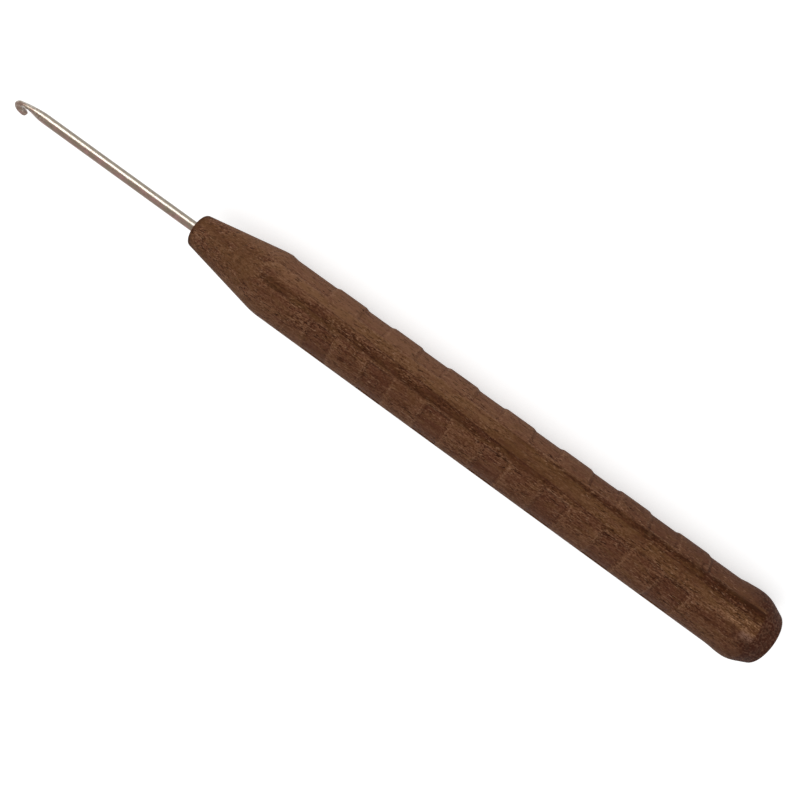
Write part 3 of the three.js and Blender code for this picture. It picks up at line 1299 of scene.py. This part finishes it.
    def pocket_cutters(self) -> list[bpy.types.Object]:
        """Make the waste of every pocket.

        Returns:
            The closed shapes.
        """
        half_turn = self.pocket_half_turn
        floor = self.body_radius - self.pocket_depth
        clear = self.pocket_clearance
        cutters = []
        for row in Row:
            first_turn = row.value - math.degrees(half_turn)
            for start, end, first_ramp, last_ramp in self.pocket_spans(row):
                section = [
                    (start + first_ramp, floor),
                    (start - first_ramp * clear / self.pocket_depth, self.body_radius + clear),
                    (end + last_ramp * clear / self.pocket_depth, self.body_radius + clear),
                    (end - last_ramp, floor),
                ]
                places = [self.axis.place(*point, first_turn) for point in section]
                cutters.append(Workbench.draw(f"pocket_waste_{row.name.lower()}", places))
                bpy.ops.mesh.select_all(action="SELECT")
                bpy.ops.mesh.edge_face_add()
                bpy.ops.mesh.spin(
                    steps=self.curve_steps * 2,
                    angle=2 * half_turn,
                    center=self.axis.middle,
                    axis=(1.0, 0.0, 0.0),
                )
                Workbench.close_up()
        return cutters

    def sand(self, handle: bpy.types.Object) -> None:
        """Sand every edge soft: an even skin over the whole handle, then smoothed.

        Args:
            handle: The carved handle.
        """
        Workbench.finish_with(handle, "REMESH", {"mode": "VOXEL", "voxel_size": self.grit * MM})
        strokes = {"factor": self.sanding, "iterations": self.sanding_strokes}
        Workbench.finish_with(handle, "SMOOTH", strokes)

    def mark_carving(self, handle: bpy.types.Object) -> None:
        """Note on the mesh where it is carved, where light and shadow are painted at the pads' ends, and
        how proud it stands.

        Args:
            handle: The sanded handle.
        """
        mesh = handle.data
        places = self._read(mesh.vertices, "co", 3, float) / MM
        normals = self._read(mesh.vertices, "normal", 3, float)
        edges = self._read(mesh.edges, "vertices", 2, int)
        side, up = places[:, 1], places[:, 2] - self.axis.height / MM
        radius = np.hypot(side, up)
        turns = np.radians([flat.value for flat in Flat])
        over_flats = np.max(np.outer(side, np.sin(turns)) + np.outer(up, np.cos(turns)), axis=1)
        outline = np.array(sorted([*self.butt_outline(), *self.nose_outline()]))
        stations = places[:, 0] - self.axis.butt_x / MM
        blank_radius = np.interp(stations, outline[:, 0], outline[:, 1])
        below = np.clip((blank_radius - radius) / self.pocket_depth, 0, 1)
        beside_flats = np.clip((self.flat_apothem - self.flat_skin - over_flats) / self.flat_edge, 0, 1)
        self._write_attribute(mesh, "carved", below * beside_flats)
        self._write_attribute(mesh, "planed", 1 - beside_flats)
        # Painted light at the pads' ends, and painted shadow below them
        self._write_attribute(mesh, "pad_light_shadow", self.find_pad_light_shadow(stations, np.degrees(np.arctan2(side, up))))

        # How proud or sunk each point stands, for the edges' painted highlight and the corners' painted
        # shade
        neighbours = np.bincount(edges.ravel(), minlength=len(places))[:, None]
        smoothed = places.copy()
        for _ in range(self.proudness_strokes):
            sums = np.zeros_like(places)
            np.add.at(sums, edges[:, 0], smoothed[edges[:, 1]])
            np.add.at(sums, edges[:, 1], smoothed[edges[:, 0]])
            smoothed = (smoothed + sums) / (neighbours + 1)
        proud = np.einsum("ij,ij->i", places - smoothed, normals)
        self._write_attribute(mesh, "proudness", np.clip(proud / self.proudness_height, -1, 1))

    def find_pad_light_shadow(self, stations: np.ndarray, turns: np.ndarray) -> np.ndarray:
        """Find where light is painted on the pads' ends, and where shadow is painted below those towards
        the nose.

        Args:
            stations: The points' distances from the butt, in millimetres.
            turns: Their turns from the top, in degrees.

        Returns:
            1 at a pad's end, down to 0 at the painted light's reach, and below 0 where shadow is painted.
        """
        nearness = np.zeros(len(stations))
        for row in Row:
            off_middle = np.abs((turns - row.value + 180) % 360 - 180)
            on_pad = off_middle < math.degrees(self.pocket_half_turn)
            for start, end, _, last_ramp in self.pocket_spans(row):
                gap = np.maximum(start - stations, stations - end)
                near = np.where(on_pad & (gap > 0), 1 - gap / self.pad_light_reach, 0)
                nearness = np.maximum(nearness, near)
                below_end = np.abs(end - last_ramp / 2 - stations) / self.pocket_ramp
                nearness = np.where(on_pad & (below_end < 1), -self.pad_shadow_depth * (1 - below_end), nearness)
        return nearness

    @staticmethod
    def _read(parts: bpy.types.bpy_prop_collection, key: str, width: int, kind: type) -> np.ndarray:
        """Read the same numbers of every point or every edge of a mesh.

        Args:
            parts: The points or the edges.
            key: What is read of each.
            width: How many numbers that is.
            kind: The type of a number.

        Returns:
            A row of numbers for each.
        """
        numbers = np.empty(len(parts) * width, kind)
        parts.foreach_get(key, numbers)
        return numbers.reshape(-1, width)

    @staticmethod
    def _write_attribute(mesh: bpy.types.Mesh, name: str, numbers: np.ndarray) -> None:
        """Store one number at each point of a mesh, under a name that a material reads."""
        attribute = mesh.attributes.new(name, "FLOAT", "POINT")
        attribute.data.foreach_set("value", numbers.astype(np.float32))


@dataclass
class SteelHook:
    """The steel hook, with the round wire smoothed and the edges of its throat eased."""

    axis: Axis
    node: bpy.types.Object
    eased_edge: float = 0.04
    edge_steps: int = 2
    facet_angle: float = 32.0
    merge_distance: float = 0.001
    level_angle: float = 0.5
    throat_from_tip: float = 2.14
    throat_height: float = 0.55
    throat_reach: float = 0.75
    throat_fill: float = 1.3
    throat_facing: float = 0.2
    finish: SteelFinish = SteelFinish()

    def build(self) -> bpy.types.Object:
        """Make the hook from a copy of its plain solid.

        Returns:
            The finished piece.
        """
        hook = bpy.data.objects.new("hook_and_shank", self.node.data.copy())
        bpy.context.scene.collection.objects.link(hook)
        Workbench.pick_up(hook)
        bpy.ops.object.mode_set(mode="EDIT")
        bpy.ops.mesh.select_all(action="SELECT")
        bpy.ops.mesh.remove_doubles(threshold=self.merge_distance * MM)
        bpy.ops.mesh.dissolve_limited(angle_limit=math.radians(self.level_angle))
        bpy.ops.object.mode_set(mode="OBJECT")
        Workbench.finish_with(hook, "BEVEL", {
            "width": self.eased_edge * MM,
            "segments": self.edge_steps,
            "limit_method": "ANGLE",
            "angle_limit": math.radians(self.facet_angle),
        })
        bpy.ops.object.shade_smooth_by_angle(angle=math.radians(self.facet_angle))
        hook.data.materials.clear()
        hook.data.materials.append(self.finish.material(self.axis))
        self.mark_throat(hook)
        return hook

    def mark_throat(self, hook: bpy.types.Object) -> None:
        """Note on the mesh which of its surface lies within the throat, where a highlight is painted.

        Args:
            hook: The finished hook.
        """
        mesh = hook.data
        lip = math.radians(Flat.LIP_SIDE.value)
        tip_x = max(vertex.co.x for vertex in mesh.vertices)
        middle = Vector((
            tip_x - self.throat_from_tip * MM,
            self.throat_height * math.sin(lip) * MM,
            self.axis.height + self.throat_height * math.cos(lip) * MM,
        ))
        across = Vector((0.0, math.cos(lip), -math.sin(lip)))
        attribute = mesh.attributes.new("throat", "FLOAT", "POINT")
        for vertex, mark in zip(mesh.vertices, attribute.data):
            inwards = middle - vertex.co
            inwards -= inwards.dot(across) * across
            if vertex.normal.dot(inwards.normalized()) > self.throat_facing:
                nearness = self.throat_fill - inwards.length / (self.throat_reach * MM)
                mark.value = min(1.0, max(0.0, nearness))


@dataclass
class TangGlue:
    """The glue round the tang. It keeps its plain solid, because nothing of it shows."""

    node: bpy.types.Object
    finish: GlueFinish = GlueFinish()

    def dress(self) -> bpy.types.Object:
        """Give the plain solid its finish.

        Returns:
            The finished piece.
        """
        self.node.data.materials.clear()
        self.node.data.materials.append(self.finish.material())
        return self.node


# Studio


@dataclass(frozen=True)
class Studio:
    """A pale floor, soft light and the camera, at the photograph's angle."""

    camera_place: Place = (-0.020216, -0.110610, 0.110632)
    camera_right: Place = (-0.8064, -0.3468, -0.4789)
    camera_up: Place = (0.5862, -0.5763, -0.5692)
    camera_back: Place = (-0.0786, -0.7397, 0.6679)
    lens: float = 38.53
    sensor_width: float = 36.0
    lamp_place: Place = (0.47, -0.77, 0.22)
    lamp_length: float = 0.60
    lamp_height: float = 0.44
    lamp_power: float = 3.1
    room_light: float = 0.65
    floor_size: float = 4.0
    floor_roughness: float = 0.9
    floor_colour: Colour = (0.80, 0.80, 0.80, 1.0)
    floor_lift: Colour = (0.60, 0.60, 0.60, 1.0)
    black: Colour = (0.0, 0.0, 0.0, 1.0)
    white: Colour = (1.0, 1.0, 1.0, 1.0)

    def build(self) -> None:
        """Set up the camera, the light and the floor."""
        self.place_camera()
        self.hang_light()
        self.light_room()
        self.lay_floor()
        bpy.context.scene.view_settings.view_transform = "Standard"

    def place_camera(self) -> None:
        """Put the camera where the photograph was taken from."""
        camera = bpy.data.cameras.new("camera")
        camera.lens = self.lens
        camera.sensor_width = self.sensor_width
        camera.clip_start = MM
        holder = bpy.data.objects.new("camera", camera)
        bpy.context.scene.collection.objects.link(holder)
        turn = Matrix((self.camera_right, self.camera_up, self.camera_back)).transposed()
        turn = turn.to_quaternion().to_matrix().to_4x4()
        holder.matrix_world = Matrix.Translation(self.camera_place) @ turn
        bpy.context.scene.camera = holder

    def hang_light(self) -> None:
        """Hang one large soft lamp on the near side, aimed at the middle of the hook."""
        lamp = bpy.data.lights.new("soft_lamp", "AREA")
        lamp.energy = self.lamp_power
        lamp.shape = "RECTANGLE"
        lamp.size = self.lamp_length
        lamp.size_y = self.lamp_height
        holder = bpy.data.objects.new("soft_lamp", lamp)
        bpy.context.scene.collection.objects.link(holder)
        holder.location = self.lamp_place
        holder.rotation_mode = "QUATERNION"
        holder.rotation_quaternion = Vector(self.lamp_place).to_track_quat("Z", "Y")

    def light_room(self) -> None:
        """Light the room evenly, and show it white to the camera and in reflections."""
        room = bpy.data.worlds.new("studio_room")
        bpy.context.scene.world = room
        bench = ShaderBench(room)
        strength = bench.backdrop_rays() * (1 - self.room_light) + self.room_light
        light = bench.node("ShaderNodeBackground", inputs={"Color": self.white, "Strength": strength})
        bench.node("ShaderNodeOutputWorld", inputs={"Surface": light.outputs[0]})

    def lay_floor(self) -> None:
        """Lay a pale floor that shows white and keeps the hook's shadow."""
        Workbench.clear()
        bpy.ops.mesh.primitive_plane_add(size=self.floor_size, location=(0.0, 0.0, 0.0))
        floor = bpy.context.object
        floor.name = "floor"
        material = bpy.data.materials.new("floor_pale")
        bench = ShaderBench(material)
        bench.principled({
            "Base Color": self.floor_colour,
            "Roughness": self.floor_roughness,
            "Specular IOR Level": 0.0,
            "Emission Color": bench.mix(bench.backdrop_rays(), self.black, self.floor_lift),
            "Emission Strength": 1.0,
        })
        floor.data.materials.append(material)


def hand_over(piece: bpy.types.Object, node: str) -> None:
    """Let a finished piece stand for its plain solid, and report it.

    Args:
        piece: The finished piece.
        node: The name of the plain solid.
    """
    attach(piece, "root")
    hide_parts(node)
    logger.info("%s: %d faces, stands for %s", piece.name, len(piece.data.polygons), node)


def main() -> None:
    """Build the looks of every piece, and set up the studio."""
    logging.basicConfig(level=logging.INFO, format="%(name)s: %(message)s")
    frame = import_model()
    axis = Axis(butt_x=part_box("handle")[0].x, height=CarvedHandle.flat_apothem * MM)
    hand_over(CarvedHandle(axis).build(), "handle")
    hand_over(SteelHook(axis, frame["nodes"]["steel_hook"]).build(), "steel_hook")
    glue = TangGlue(frame["nodes"]["tang_glue"]).dress()
    logger.info("%s: %d faces, keeps its plain solid", glue.name, len(glue.data.polygons))
    Studio().build()


if __name__ == "__main__":
    main()
